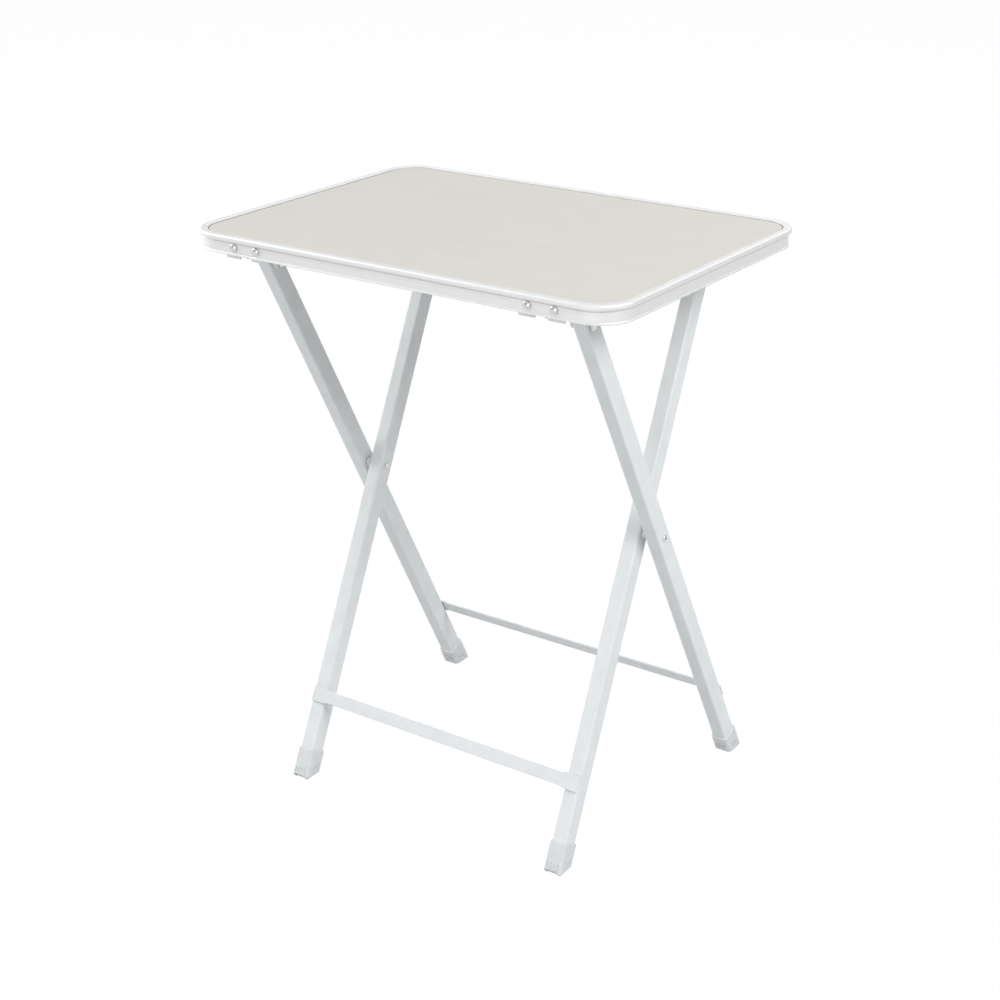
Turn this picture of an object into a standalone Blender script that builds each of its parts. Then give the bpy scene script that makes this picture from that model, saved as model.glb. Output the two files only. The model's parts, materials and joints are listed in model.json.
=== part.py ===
"""Folding camping table: a rimmed top carried by two crossed pairs of tube legs.

Lengths are in metres and +Z is up. The origin is on the floor under the middle of
the top. The long side of the top runs along X and its hinged edge is at -Y.
The outer legs hinge to the top near its front edge. The inner legs turn between
them on the cross pivot, and their top rod rests in two hooks near the back edge.
"""
import math

import bmesh
import bpy
from mathutils import Vector

# Overall sizes
TOP_LENGTH = 0.530
TOP_DEPTH = 0.380
TABLE_HEIGHT = 0.640
TOP_CORNER_RADIUS = 0.040

# Clearances
SEAT_GAP = 0.0003
CUT_OVERRUN = 0.002

# Board of the top
BOARD_THICKNESS = 0.003
BOARD_RECESS = 0.001
BOARD_BITE = 0.006
BOARD_REBATE = 0.0006
BOARD_EDGE_ROUND = 0.0003

# Aluminium edge rim: a bead over a skirt, with a slot for the board
RIM_HEIGHT = 0.020
BEAD_WIDTH = 0.009
BEAD_HEIGHT = 0.0055
BEAD_TOP_ROUND = 0.0024
BEAD_FOOT_ROUND = 0.0012
BEAD_STEP_WIDTH = 0.0026
BEAD_STEP_DROP = 0.0004
BEAD_OVERHANG = 0.0033
SKIRT_WALL = 0.0012
SLOT_SHELF = 0.012
SKIRT_LIP_REACH = 0.0009
SKIRT_LIP_HEIGHT = 0.0022

# Leg tubes
TUBE_WIDTH = 0.0168
TUBE_DEPTH = 0.0208
TUBE_WALL = 0.0012
TUBE_ROUND = 0.0022
OUTER_LEG_INSET = 0.067
LEG_GAP = 0.0085

# Where the leg frames meet the top and the floor, seen from the side
HINGE_SETBACK = 0.058
HINGE_DROP = 0.039
ROD_SETBACK = 0.0583
ROD_DROP = 0.0426
BACK_FOOT_OFFSET = 0.1813
FRONT_FOOT_OFFSET = 0.1430
OUTER_LEG_OVERRUN = 0.010
INNER_LEG_OVERRUN = 0.008

# Plugs in the upper tube ends
PLUG_HEAD = 0.002
PLUG_CHAMFER = 0.0007
PLUG_CLEARANCE = 0.001

# Feet: moulded caps with a flat sole and a rounded toe
FOOT_WALL = 0.0020
FOOT_LENGTH = 0.030
FOOT_RIM_CHAMFER = 0.0012
FOOT_SOLE_RISE = 0.0115
FOOT_TOE_ROUND = 0.0095
FOOT_EDGE_ROUND = 0.0016

# Flat cross bars
BAR_WIDTH = 0.014
BAR_END_WIDTH = 0.0175
BAR_THICKNESS = 0.002
BAR_EDGE_ROUND = 0.0006
BAR_FLARE_LENGTH = 0.006
BAR_END_SETBACK = 0.0008
INNER_BAR_RISE = 0.0932
OUTER_BAR_RISE = 0.0965

# Rest rod between the inner legs
ROD_RADIUS = 0.005
ROD_WALL = 0.001

# Cross pivot
PIVOT_SHANK_RADIUS = 0.0024
PIVOT_HEAD_RADIUS = 0.0036
PIVOT_HEAD_HEIGHT = 0.0018
PIVOT_TAIL_RADIUS = 0.0031
PIVOT_TAIL_HEIGHT = 0.0012
SPACER_RADIUS = 0.0055

# Hinge pin and its washer
PIN_SHANK_RADIUS = 0.0028
PIN_HEAD_RADIUS = 0.0056
PIN_HEAD_HEIGHT = 0.0022
PIN_FOOT_RADIUS = 0.0038
PIN_FOOT_HEIGHT = 0.0018
WASHER_RADIUS = 0.0065
WASHER_THICKNESS = 0.0022

# Pressed brackets: a riveted flange with an ear that stands in from it
FLANGE_WIDTH = 0.052
FLANGE_THICKNESS = 0.0015
FLANGE_TOP_CLEARANCE = 0.001
FLANGE_LIP_DROP = 0.0034
RELIEF_WIDTH = 0.015
RELIEF_RISE = 0.0035
RELIEF_DEPTH = 0.0032
EAR_THICKNESS = 0.003
EAR_ROOT_ROUND = 0.0025
HINGE_EAR_RADIUS = 0.0062
EAR_NECK_ROUND = 0.008
EAR_SHOULDER_ROUND = 0.010
HINGE_BRACKET_INBOARD = 0.015

# Rest hooks: a notch over the rod, open to the front along the rod's path
REST_BRACKET_INBOARD = 0.048
REST_CLEARANCE = 0.0005
NOSE_REACH = 0.007
NOSE_THICKNESS = 0.005
FINGER_THICKNESS = 0.006
FINGER_DROP = 0.004

# Rivets through the skirt
RIVET_INSET = 0.011
RIVET_DROP = 0.012
RIVET_SHANK_RADIUS = 0.0024
RIVET_HEAD_RADIUS = 0.0044
RIVET_HEAD_HEIGHT = 0.0021
RIVET_TAIL_RADIUS = 0.0036
RIVET_TAIL_HEIGHT = 0.0016

# Counts of steps in round forms
TOP_CORNER_STEPS = 10
SMALL_CORNER_STEPS = 4
BEAD_STEPS = 5
ROUND_STEPS = 20
ARC_STEPS = 8
DOME_STEPS = 4
FOOT_ROUND_STEPS = 4
FLARE_STEPS = 4
BEVEL_STEPS = 2
SMOOTH_ANGLE = math.radians(35)

# Places worked out from the sizes above
HINGE_Y = HINGE_SETBACK - TOP_DEPTH / 2
HINGE_Z = TABLE_HEIGHT - HINGE_DROP
ROD_Y = TOP_DEPTH / 2 - ROD_SETBACK
ROD_Z = TABLE_HEIGHT - ROD_DROP
OUTER_SLOPE = (BACK_FOOT_OFFSET - HINGE_Y) / HINGE_Z
INNER_SLOPE = (ROD_Y + FRONT_FOOT_OFFSET) / ROD_Z
OUTER_LEAN = math.atan(OUTER_SLOPE)
INNER_LEAN = -math.atan(INNER_SLOPE)
PIVOT_Z = (BACK_FOOT_OFFSET + FRONT_FOOT_OFFSET) / (OUTER_SLOPE + INNER_SLOPE)
PIVOT_Y = BACK_FOOT_OFFSET - PIVOT_Z * OUTER_SLOPE
HINGE_REACH = (HINGE_Z - PIVOT_Z) / math.cos(OUTER_LEAN)
ROD_REACH = (ROD_Z - PIVOT_Z) / math.cos(INNER_LEAN)
OUTER_LEG_X = TOP_LENGTH / 2 - OUTER_LEG_INSET
INNER_LEG_X = OUTER_LEG_X - TUBE_WIDTH - LEG_GAP
SKIRT_INNER_Y = TOP_DEPTH / 2 - BEAD_OVERHANG - SKIRT_WALL
SKIRT_OUTER_Y = TOP_DEPTH / 2 - BEAD_OVERHANG
RIM_FOOT_Z = TABLE_HEIGHT - RIM_HEIGHT
RIVET_Z = TABLE_HEIGHT - RIVET_DROP
RIVET_PITCH = FLANGE_WIDTH - 2 * RIVET_INSET
FLANGE_FACE_Y = SKIRT_INNER_Y - SEAT_GAP
FLANGE_BACK_Y = FLANGE_FACE_Y - FLANGE_THICKNESS
FLANGE_TOP_Z = TABLE_HEIGHT - BEAD_HEIGHT - FLANGE_TOP_CLEARANCE
FLANGE_FOOT_Z = RIM_FOOT_Z - FLANGE_LIP_DROP
HINGE_EAR_OUTER_X = OUTER_LEG_X - TUBE_WIDTH / 2 - WASHER_THICKNESS - 2 * SEAT_GAP
HINGE_BRACKET_X = OUTER_LEG_X - HINGE_BRACKET_INBOARD
REST_BRACKET_X = OUTER_LEG_X - REST_BRACKET_INBOARD
PLUG_DEPTH = OUTER_LEG_OVERRUN - PIN_SHANK_RADIUS - PLUG_CLEARANCE
SIDES = {"left": -1, "right": 1}


def clear_scene():
    """Removes whatever the new file holds."""
    for thing in list(bpy.data.objects):
        bpy.data.objects.remove(thing, do_unlink=True)


def make_material(name, colour, roughness, metallic=0.0):
    """Returns a plain shaded material."""
    finish = bpy.data.materials.new(name)
    finish.use_nodes = True
    shader = finish.node_tree.nodes["Principled BSDF"]
    shader.inputs["Base Color"].default_value = (*colour, 1.0)
    shader.inputs["Roughness"].default_value = roughness
    shader.inputs["Metallic"].default_value = metallic
    return finish


def make_finishes():
    """Returns the object's finishes by name."""
    return {
        "laminate": make_material("ivory_laminate", (0.70, 0.69, 0.66), 0.45),
        "aluminium": make_material("satin_aluminium", (0.86, 0.87, 0.88), 0.32, 1.0),
        "paint": make_material("pale_grey_powder_coat", (0.78, 0.80, 0.80), 0.42),
        "plastic": make_material("light_grey_plastic", (0.60, 0.62, 0.62), 0.55),
        "plated": make_material("zinc_plated_steel", (0.72, 0.72, 0.70), 0.25, 1.0),
        "nylon": make_material("white_nylon", (0.75, 0.75, 0.74), 0.50),
    }


def make_empty(name, place, lean=0.0):
    """Returns an empty on a joint's axis, leaning about X."""
    empty = bpy.data.objects.new(name, None)
    bpy.context.scene.collection.objects.link(empty)
    empty.location = place
    empty.rotation_euler = (lean, 0.0, 0.0)
    return empty


def make_object(name, mesh_data, finish, parent, place=(0.0, 0.0, 0.0)):
    """Turns a bmesh into a smooth-shaded object under its axis, with its faces pointing out."""
    bmesh.ops.recalc_face_normals(mesh_data, faces=mesh_data.faces)
    mesh = bpy.data.meshes.new(name)
    mesh_data.to_mesh(mesh)
    mesh_data.free()
    mesh.shade_smooth()
    mesh.set_sharp_from_angle(angle=SMOOTH_ANGLE)
    thing = bpy.data.objects.new(name, mesh)
    bpy.context.scene.collection.objects.link(thing)
    if finish is not None:
        mesh.materials.append(finish)
    thing.parent = parent
    thing.location = place
    return thing


def combine(body, tool_mesh, operation, name):
    """Cuts, joins or trims an object with a hidden tool that shares its parent."""
    tool = make_object(name, tool_mesh, None, body.parent, body.location)
    tool.hide_render = True
    tool.display_type = "WIRE"
    step = body.modifiers.new(name, "BOOLEAN")
    step.operation = operation
    step.solver = "EXACT"
    step.object = tool


def arc(centre, radius, start, end, steps):
    """Points along an arc in a plane, from one angle to another."""
    points = []
    for index in range(steps + 1):
        angle = start + (end - start) * index / steps
        points.append((centre[0] + radius * math.cos(angle), centre[1] + radius * math.sin(angle)))
    return points


def rounded_rectangle(half_width, half_depth, radius, steps):
    """Outline of a rectangle with round corners, anticlockwise from its +X side."""
    corners = [(1, 1), (-1, 1), (-1, -1), (1, -1)]
    points = []
    for quarter, (sign_x, sign_y) in enumerate(corners):
        centre = (sign_x * (half_width - radius), sign_y * (half_depth - radius))
        start = quarter * math.pi / 2
        points += arc(centre, radius, start, start + math.pi / 2, steps)
    return points


def circle(radius, steps=ROUND_STEPS):
    """Outline of a circle."""
    return [
        (radius * math.cos(2 * math.pi * i / steps), radius * math.sin(2 * math.pi * i / steps))
        for i in range(steps)
    ]


def add_ring(mesh_data, points):
    """Adds a ring of vertices."""
    return [mesh_data.verts.new(point) for point in points]


def bridge(mesh_data, ring_a, ring_b):
    """Joins two rings of equal count with four-sided faces."""
    count = len(ring_a)
    for index in range(count):
        follower = (index + 1) % count
        mesh_data.faces.new((ring_a[index], ring_a[follower], ring_b[follower], ring_b[index]))


def loft(rings, closed=False):
    """Skins a row of rings, and caps its two ends unless the row closes on itself."""
    mesh_data = bmesh.new()
    made = [add_ring(mesh_data, ring) for ring in rings]
    for ring_a, ring_b in zip(made, made[1:]):
        bridge(mesh_data, ring_a, ring_b)
    if closed:
        bridge(mesh_data, made[-1], made[0])
    else:
        mesh_data.faces.new(made[0])
        mesh_data.faces.new(made[-1])
    return mesh_data


def prism(outline, low, high, place):
    """Extrudes a flat outline between two heights, with place() setting it in space."""
    return loft([[place(u, v, level) for u, v in outline] for level in (low, high)])


def along_x(u, v, level):
    """An outline in the YZ plane, extruded along X."""
    return (level, u, v)


def along_y(u, v, level):
    """An outline in the XZ plane, extruded along Y."""
    return (u, level, v)


def along_z(u, v, level):
    """An outline in the XY plane, extruded along Z."""
    return (u, v, level)


def pipe(outer, inner, low, high, place):
    """A hollow section with open ends."""
    rings = []
    for outline, level in ((outer, low), (outer, high), (inner, high), (inner, low)):
        rings.append([place(u, v, level) for u, v in outline])
    return loft(rings, closed=True)


def turned(profile, direction):
    """Turns a profile of (radius, distance) about X, or about Y, from pole to pole."""
    mesh_data = bmesh.new()
    rings = []
    for radius, distance in profile:
        if radius == 0:
            spokes = [(0.0, 0.0)]
        else:
            spokes = circle(radius)
        if direction == "x":
            rings.append(add_ring(mesh_data, [(distance, u, v) for u, v in spokes]))
        else:
            rings.append(add_ring(mesh_data, [(u, distance, v) for u, v in spokes]))
    for ring_a, ring_b in zip(rings, rings[1:]):
        if len(ring_a) == len(ring_b):
            bridge(mesh_data, ring_a, ring_b)
            continue
        pole, ring = (ring_a[0], ring_b) if len(ring_a) == 1 else (ring_b[0], ring_a)
        for index, vertex in enumerate(ring):
            mesh_data.faces.new((pole, vertex, ring[(index + 1) % len(ring)]))
    return mesh_data


def rivet_profile(shank, head, head_height, tail, tail_height, face, back, sign=1):
    """A domed head outside face, a shank, and a flat formed tail beyond back."""
    profile = []
    for index in range(DOME_STEPS + 1):
        angle = math.pi / 2 * index / DOME_STEPS
        profile.append((head * math.sin(angle), face + sign * head_height * math.cos(angle)))
    profile[0] = (0, face + sign * head_height)
    profile += [
        (shank, face),
        (shank, back),
        (tail, back),
        (tail, back - sign * tail_height / 2),
        (tail - tail_height / 2, back - sign * tail_height),
        (0, back - sign * tail_height),
    ]
    return profile


def rim_profile():
    """Section of the edge rim as (inset from the edge, depth below the top)."""
    slot_end = BEAD_WIDTH - BOARD_BITE - SEAT_GAP
    slot_roof = BOARD_RECESS + BOARD_REBATE - SEAT_GAP
    slot_floor = BOARD_RECESS + BOARD_THICKNESS + SEAT_GAP
    skirt_face = BEAD_OVERHANG
    skirt_back = BEAD_OVERHANG + SKIRT_WALL
    lip_face = BEAD_OVERHANG - SKIRT_LIP_REACH
    top_bend = arc((BEAD_TOP_ROUND, BEAD_TOP_ROUND), BEAD_TOP_ROUND,
                   -math.pi / 2, -math.pi, BEAD_STEPS)
    foot_bend = arc((BEAD_FOOT_ROUND, BEAD_HEIGHT - BEAD_FOOT_ROUND), BEAD_FOOT_ROUND,
                    math.pi, math.pi / 2, SMALL_CORNER_STEPS)
    profile = [(BEAD_WIDTH, BEAD_STEP_DROP), (BEAD_WIDTH - BEAD_STEP_WIDTH, BEAD_STEP_DROP)]
    profile += [(BEAD_WIDTH - BEAD_STEP_WIDTH - BEAD_STEP_DROP, 0.0)]
    profile += top_bend + foot_bend
    profile += [
        (skirt_face, BEAD_HEIGHT),
        (skirt_face, RIM_HEIGHT - SKIRT_LIP_HEIGHT),
        (lip_face, RIM_HEIGHT - SKIRT_LIP_HEIGHT + SKIRT_LIP_REACH),
        (lip_face, RIM_HEIGHT),
        (skirt_back, RIM_HEIGHT),
        (skirt_back, slot_floor + SKIRT_WALL),
        (SLOT_SHELF, slot_floor + SKIRT_WALL),
        (SLOT_SHELF, slot_floor),
        (slot_end, slot_floor),
        (slot_end, slot_roof),
        (BEAD_WIDTH, slot_roof),
    ]
    return profile


def build_edge_rim(finish, parent):
    """The aluminium section bent round the board, with its rivet holes."""
    rings = []
    for inset, depth in rim_profile():
        outline = rounded_rectangle(TOP_LENGTH / 2 - inset, TOP_DEPTH / 2 - inset,
                                    TOP_CORNER_RADIUS - inset, TOP_CORNER_STEPS)
        rings.append([(x, y, TABLE_HEIGHT - depth) for x, y in outline])
    rim = make_object("edge_rim", loft(rings, closed=True), finish, parent, -parent.location)
    drill_skirt(rim)


def rivet_places():
    """Name, centre along X and side of the skirt of each rivet."""
    places = []
    for kind, centre, front in (("hinge", HINGE_BRACKET_X, -1), ("rest", REST_BRACKET_X, 1)):
        for side, sign in SIDES.items():
            for end, shift in (("outer", RIVET_PITCH / 2), ("inner", -RIVET_PITCH / 2)):
                places.append((f"{kind}_rivet_{side}_{end}", sign * (centre + shift), front))
    return places


def drill_skirt(body):
    """Cuts the rivet holes that pass through a body at the skirt."""
    for name, x, front in rivet_places():
        hole = turned([
            (0, front * (SKIRT_OUTER_Y + CUT_OVERRUN)),
            (RIVET_SHANK_RADIUS + SEAT_GAP, front * (SKIRT_OUTER_Y + CUT_OVERRUN)),
            (RIVET_SHANK_RADIUS + SEAT_GAP, front * (FLANGE_BACK_Y - CUT_OVERRUN)),
            (0, front * (FLANGE_BACK_Y - CUT_OVERRUN)),
        ], "y")
        bmesh.ops.translate(hole, verts=hole.verts, vec=(x, 0.0, RIVET_Z))
        combine(body, hole, "DIFFERENCE", f"{body.name}_{name}_hole")


def build_top_panel(finish, parent):
    """The laminated board, thinned at its edges where they enter the rim's slot."""
    edge = BEAD_WIDTH - BOARD_BITE
    face_edge = BEAD_WIDTH + SEAT_GAP
    top = TABLE_HEIGHT - BOARD_RECESS
    levels = [
        (face_edge, top),
        (face_edge, top - BOARD_REBATE),
        (edge + BOARD_EDGE_ROUND, top - BOARD_REBATE),
        (edge, top - BOARD_REBATE - BOARD_EDGE_ROUND),
        (edge, top - BOARD_THICKNESS + BOARD_EDGE_ROUND),
        (edge + BOARD_EDGE_ROUND, top - BOARD_THICKNESS),
    ]
    rings = []
    for inset, level in levels:
        outline = rounded_rectangle(TOP_LENGTH / 2 - inset, TOP_DEPTH / 2 - inset,
                                    TOP_CORNER_RADIUS - inset, TOP_CORNER_STEPS)
        rings.append([(x, y, level) for x, y in outline])
    make_object("top_panel", loft(rings), finish, parent, -parent.location)


def bracket_plan(sign, centre, ear_low, ear_high, ear_end, front):
    """Plan of a bracket as (x, y): a flange with an ear standing in from it."""
    low = centre - FLANGE_WIDTH / 2
    high = centre + FLANGE_WIDTH / 2
    root = FLANGE_BACK_Y - EAR_ROOT_ROUND
    outline = [(low, FLANGE_FACE_Y), (low, FLANGE_BACK_Y)]
    outline += arc((ear_low - EAR_ROOT_ROUND, root), EAR_ROOT_ROUND,
                   math.pi / 2, 0.0, SMALL_CORNER_STEPS)
    outline += [(ear_low, ear_end), (ear_high, ear_end)]
    outline += arc((ear_high + EAR_ROOT_ROUND, root), EAR_ROOT_ROUND,
                   math.pi, math.pi / 2, SMALL_CORNER_STEPS)
    outline += [(high, FLANGE_BACK_Y), (high, FLANGE_FACE_Y)]
    return [(sign * x, front * y) for x, y in outline]


def build_bracket(name, finish, parent, sign, centre, ear_low, ear_high, ear_side, front):
    """A pressed bracket: its side view, trimmed by its plan, with its bend relief and holes."""
    half_width = FLANGE_WIDTH / 2 + CUT_OVERRUN
    side_view = prism(ear_side, sign * (centre - half_width), sign * (centre + half_width), along_x)
    bracket = make_object(name, side_view, finish, parent, -parent.location)
    reach = min(front * y for y, z in ear_side) - CUT_OVERRUN
    floor = min(z for y, z in ear_side) - CUT_OVERRUN
    plan = bracket_plan(sign, centre, ear_low, ear_high, reach, front)
    plan_view = prism(plan, floor, FLANGE_TOP_Z + CUT_OVERRUN, along_z)
    combine(bracket, plan_view, "INTERSECT", f"{name}_plan")
    relief = [
        (sign * (centre - RELIEF_WIDTH / 2), floor),
        (sign * (centre + RELIEF_WIDTH / 2), floor),
        (sign * (centre + RELIEF_WIDTH / 2), FLANGE_FOOT_Z + RELIEF_RISE),
        (sign * (centre - RELIEF_WIDTH / 2), FLANGE_FOOT_Z + RELIEF_RISE),
    ]
    relief_cut = prism(relief, front * (FLANGE_FACE_Y + CUT_OVERRUN),
                       front * (FLANGE_BACK_Y - RELIEF_DEPTH), along_y)
    combine(bracket, relief_cut, "DIFFERENCE", f"{name}_relief")
    drill_skirt(bracket)
    return bracket


def hinge_ear_side():
    """Side view of a hinge bracket: the flange, an arm behind the skirt and a neck to the pin."""
    neck_front = HINGE_Y - HINGE_EAR_RADIUS
    neck_back = HINGE_Y + HINGE_EAR_RADIUS
    inner_bend = (neck_front - EAR_NECK_ROUND, FLANGE_FOOT_Z - EAR_NECK_ROUND)
    shoulder = (neck_back - EAR_SHOULDER_ROUND, FLANGE_TOP_Z - EAR_SHOULDER_ROUND)
    front = -FLANGE_FACE_Y - CUT_OVERRUN
    outline = [(front, FLANGE_TOP_Z), (front, FLANGE_FOOT_Z)]
    outline += arc(inner_bend, EAR_NECK_ROUND, math.pi / 2, 0.0, ARC_STEPS)
    outline += arc((HINGE_Y, HINGE_Z), HINGE_EAR_RADIUS, -math.pi, 0.0, ROUND_STEPS // 2)
    outline += arc(shoulder, EAR_SHOULDER_ROUND, 0.0, math.pi / 2, ARC_STEPS)
    return outline


def rest_hook_side():
    """Side view of a rest bracket: the flange and a notch over the top and back of the rod."""
    reach = ROD_RADIUS + REST_CLEARANCE
    rise = reach * math.tan((math.pi / 2 + INNER_LEAN) / 2)
    path = Vector((-math.cos(INNER_LEAN), -math.sin(INNER_LEAN)))
    across = Vector((-math.sin(INNER_LEAN), math.cos(INNER_LEAN)))
    corner = Vector((ROD_Y + reach, ROD_Z + rise))
    nose = corner + path * (rise + NOSE_REACH)
    nose_top = nose + across * NOSE_THICKNESS
    tip_round = FINGER_THICKNESS / 2
    tip_centre = (ROD_Y + reach + tip_round, ROD_Z - FINGER_DROP)
    back = FLANGE_FACE_Y + CUT_OVERRUN
    outline = [(back, FLANGE_FOOT_Z), (back, FLANGE_TOP_Z), (FLANGE_BACK_Y, FLANGE_TOP_Z)]
    outline += [tuple(nose_top), tuple(nose), tuple(corner)]
    outline += arc(tip_centre, tip_round, math.pi, 2 * math.pi, ARC_STEPS)
    outline += [(FLANGE_BACK_Y, FLANGE_FOOT_Z)]
    return outline


def build_hinge_bracket(side, sign, finish, parent):
    """Front bracket, whose ear stands in the gap beside the outer leg."""
    ear_low = HINGE_EAR_OUTER_X - EAR_THICKNESS
    bracket = build_bracket(f"hinge_bracket_{side}", finish, parent, sign, HINGE_BRACKET_X,
                            ear_low, HINGE_EAR_OUTER_X, hinge_ear_side(), -1)
    hole = turned([
        (0, sign * (ear_low - CUT_OVERRUN)),
        (PIN_SHANK_RADIUS + SEAT_GAP, sign * (ear_low - CUT_OVERRUN)),
        (PIN_SHANK_RADIUS + SEAT_GAP, sign * (HINGE_EAR_OUTER_X + CUT_OVERRUN)),
        (0, sign * (HINGE_EAR_OUTER_X + CUT_OVERRUN)),
    ], "x")
    bmesh.ops.translate(hole, verts=hole.verts, vec=(0.0, HINGE_Y, HINGE_Z))
    combine(bracket, hole, "DIFFERENCE", f"hinge_bracket_{side}_pin_hole")


def build_rest_bracket(side, sign, finish, parent):
    """Back bracket, whose notch sits on the rest rod and frees it to the front and below."""
    build_bracket(f"rest_bracket_{side}", finish, parent, sign, REST_BRACKET_X,
                  REST_BRACKET_X - EAR_THICKNESS / 2, REST_BRACKET_X + EAR_THICKNESS / 2,
                  rest_hook_side(), 1)


def build_skirt_rivets(finish, parent):
    """Domed rivets through the skirt and the bracket flanges."""
    for name, x, front in rivet_places():
        profile = rivet_profile(
            RIVET_SHANK_RADIUS, RIVET_HEAD_RADIUS, RIVET_HEAD_HEIGHT,
            RIVET_TAIL_RADIUS, RIVET_TAIL_HEIGHT,
            front * (SKIRT_OUTER_Y + SEAT_GAP), front * (FLANGE_BACK_Y - SEAT_GAP), front)
        place = Vector((x, 0.0, RIVET_Z)) - parent.location
        make_object(name, turned(profile, "y"), finish, parent, place)


def tube_outline(margin=0.0):
    """Outside of a leg tube, grown by a margin."""
    return rounded_rectangle(TUBE_WIDTH / 2 + margin, TUBE_DEPTH / 2 + margin,
                             TUBE_ROUND + margin, SMALL_CORNER_STEPS)


def tube_bore(margin=0.0):
    """Inside of a leg tube, shrunk by a margin."""
    return rounded_rectangle(TUBE_WIDTH / 2 - TUBE_WALL - margin,
                             TUBE_DEPTH / 2 - TUBE_WALL - margin,
                             TUBE_ROUND - TUBE_WALL, SMALL_CORNER_STEPS)


def floor_level(y, lean):
    """Height, along a leaning frame's own Z, at which its point y is on the floor."""
    return -(PIVOT_Z + y * math.sin(lean)) / math.cos(lean)


def build_leg(name, x, lean, top, hole_heights, hole_radii, finish, parent):
    """A tube from its foot to its upper end, with the holes for its pins."""
    low = floor_level(0.0, lean) + FOOT_SOLE_RISE
    tube = pipe(tube_outline(), tube_bore(), low, top, along_z)
    leg = make_object(name, tube, finish, parent, (x, 0.0, 0.0))
    reach = TUBE_WIDTH / 2 + CUT_OVERRUN
    for height, radius in zip(hole_heights, hole_radii):
        profile = [(0, -reach), (radius, -reach), (radius, reach), (0, reach)]
        hole = turned(profile, "x")
        bmesh.ops.translate(hole, verts=hole.verts, vec=(0.0, 0.0, height))
        combine(leg, hole, "DIFFERENCE", f"{name}_hole_{len(leg.modifiers) + 1}")


def build_plug(name, x, top, finish, parent):
    """A moulded plug that closes the upper end of a tube."""
    head_low = top + SEAT_GAP
    head_high = head_low + PLUG_HEAD
    body = tube_bore(SEAT_GAP)
    rings = [
        [(u, v, top - PLUG_DEPTH) for u, v in body],
        [(u, v, head_low) for u, v in body],
        [(u, v, head_low) for u, v in tube_outline()],
        [(u, v, head_high - PLUG_CHAMFER) for u, v in tube_outline()],
        [(u, v, head_high) for u, v in tube_outline(-PLUG_CHAMFER)],
    ]
    make_object(name, loft(rings), finish, parent, (x, 0.0, 0.0))


def foot_sole_rings(lean):
    """Rings from the foot's walls round its lower edge to the flat sole."""
    outline = tube_outline(FOOT_WALL)
    count = len(outline)
    toe = 1 if lean > 0 else -1
    rings = []
    for step in range(FOOT_ROUND_STEPS + 1):
        share = step / FOOT_ROUND_STEPS
        ring = []
        for index, (u, v) in enumerate(outline):
            before = Vector(outline[index - 1])
            after = Vector(outline[(index + 1) % count])
            along = (after - before).normalized()
            outward = Vector((along.y, -along.x))
            weight = max(0.0, toe * outward.y) ** 2
            round_size = FOOT_EDGE_ROUND + (FOOT_TOE_ROUND - FOOT_EDGE_ROUND) * weight
            corner = Vector((u, v, floor_level(v, lean)))
            start = corner + Vector((0.0, 0.0, round_size))
            inset = Vector((u, v)) - outward * round_size * math.cos(lean)
            end = Vector((inset.x, inset.y, floor_level(inset.y, lean)))
            ring.append(start * (1 - share) ** 2 + corner * 2 * share * (1 - share) + end * share ** 2)
        rings.append(ring)
    return rings


def build_foot(name, x, lean, finish, parent):
    """A moulded cap over the lower end of a tube, cut to stand flat on the floor."""
    rim = floor_level(0.0, lean) + FOOT_LENGTH
    tube_end = floor_level(0.0, lean) + FOOT_SOLE_RISE - SEAT_GAP
    pocket = tube_outline(SEAT_GAP)
    rings = [
        [(u, v, tube_end) for u, v in pocket],
        [(u, v, rim) for u, v in pocket],
        [(u, v, rim) for u, v in tube_outline(FOOT_WALL - FOOT_RIM_CHAMFER)],
        [(u, v, rim - FOOT_RIM_CHAMFER) for u, v in tube_outline(FOOT_WALL)],
    ]
    rings += foot_sole_rings(lean)
    make_object(name, loft(rings), finish, parent, (x, 0.0, 0.0))


def bar_outline(half_length, lap):
    """Outline of a flat bar, widened over the laps at both ends."""
    upper = []
    start = half_length - lap - BAR_FLARE_LENGTH
    for step in range(FLARE_STEPS + 1):
        share = step / FLARE_STEPS
        swell = (1 - math.cos(math.pi * share)) / 2
        half_width = BAR_WIDTH / 2 + (BAR_END_WIDTH - BAR_WIDTH) / 2 * swell
        upper.append((start + BAR_FLARE_LENGTH * share, half_width))
    upper.append((half_length, BAR_END_WIDTH / 2))
    right = [(u, -v) for u, v in upper] + [(u, v) for u, v in reversed(upper)]
    left = [(-u, v) for u, v in upper] + [(-u, -v) for u, v in reversed(upper)]
    return right + left


def build_bar(name, leg_x, lean, rise, side, finish, parent):
    """A flat bar across a pair of legs, on the side of their frame away from the other pair."""
    half_length = leg_x + TUBE_WIDTH / 2 - BAR_END_SETBACK
    level = floor_level(0.0, lean) + rise
    near = side * (TUBE_DEPTH / 2 + SEAT_GAP)
    far = near + side * BAR_THICKNESS
    outline = [(u, level + v) for u, v in bar_outline(half_length, TUBE_WIDTH)]
    bar = make_object(name, prism(outline, near, far, along_y), finish, parent)
    rounding = bar.modifiers.new("edge_round", "BEVEL")
    rounding.width = BAR_EDGE_ROUND
    rounding.segments = BEVEL_STEPS
    rounding.limit_method = "ANGLE"


def build_rest_rod(finish, parent):
    """The tube between the upper ends of the inner legs that carries the back of the top."""
    half_length = INNER_LEG_X - TUBE_WIDTH / 2 - SEAT_GAP
    section = pipe(circle(ROD_RADIUS), circle(ROD_RADIUS - ROD_WALL),
                   -half_length, half_length, along_x)
    make_object("rest_rod", section, finish, parent, (0.0, 0.0, ROD_REACH))


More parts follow.
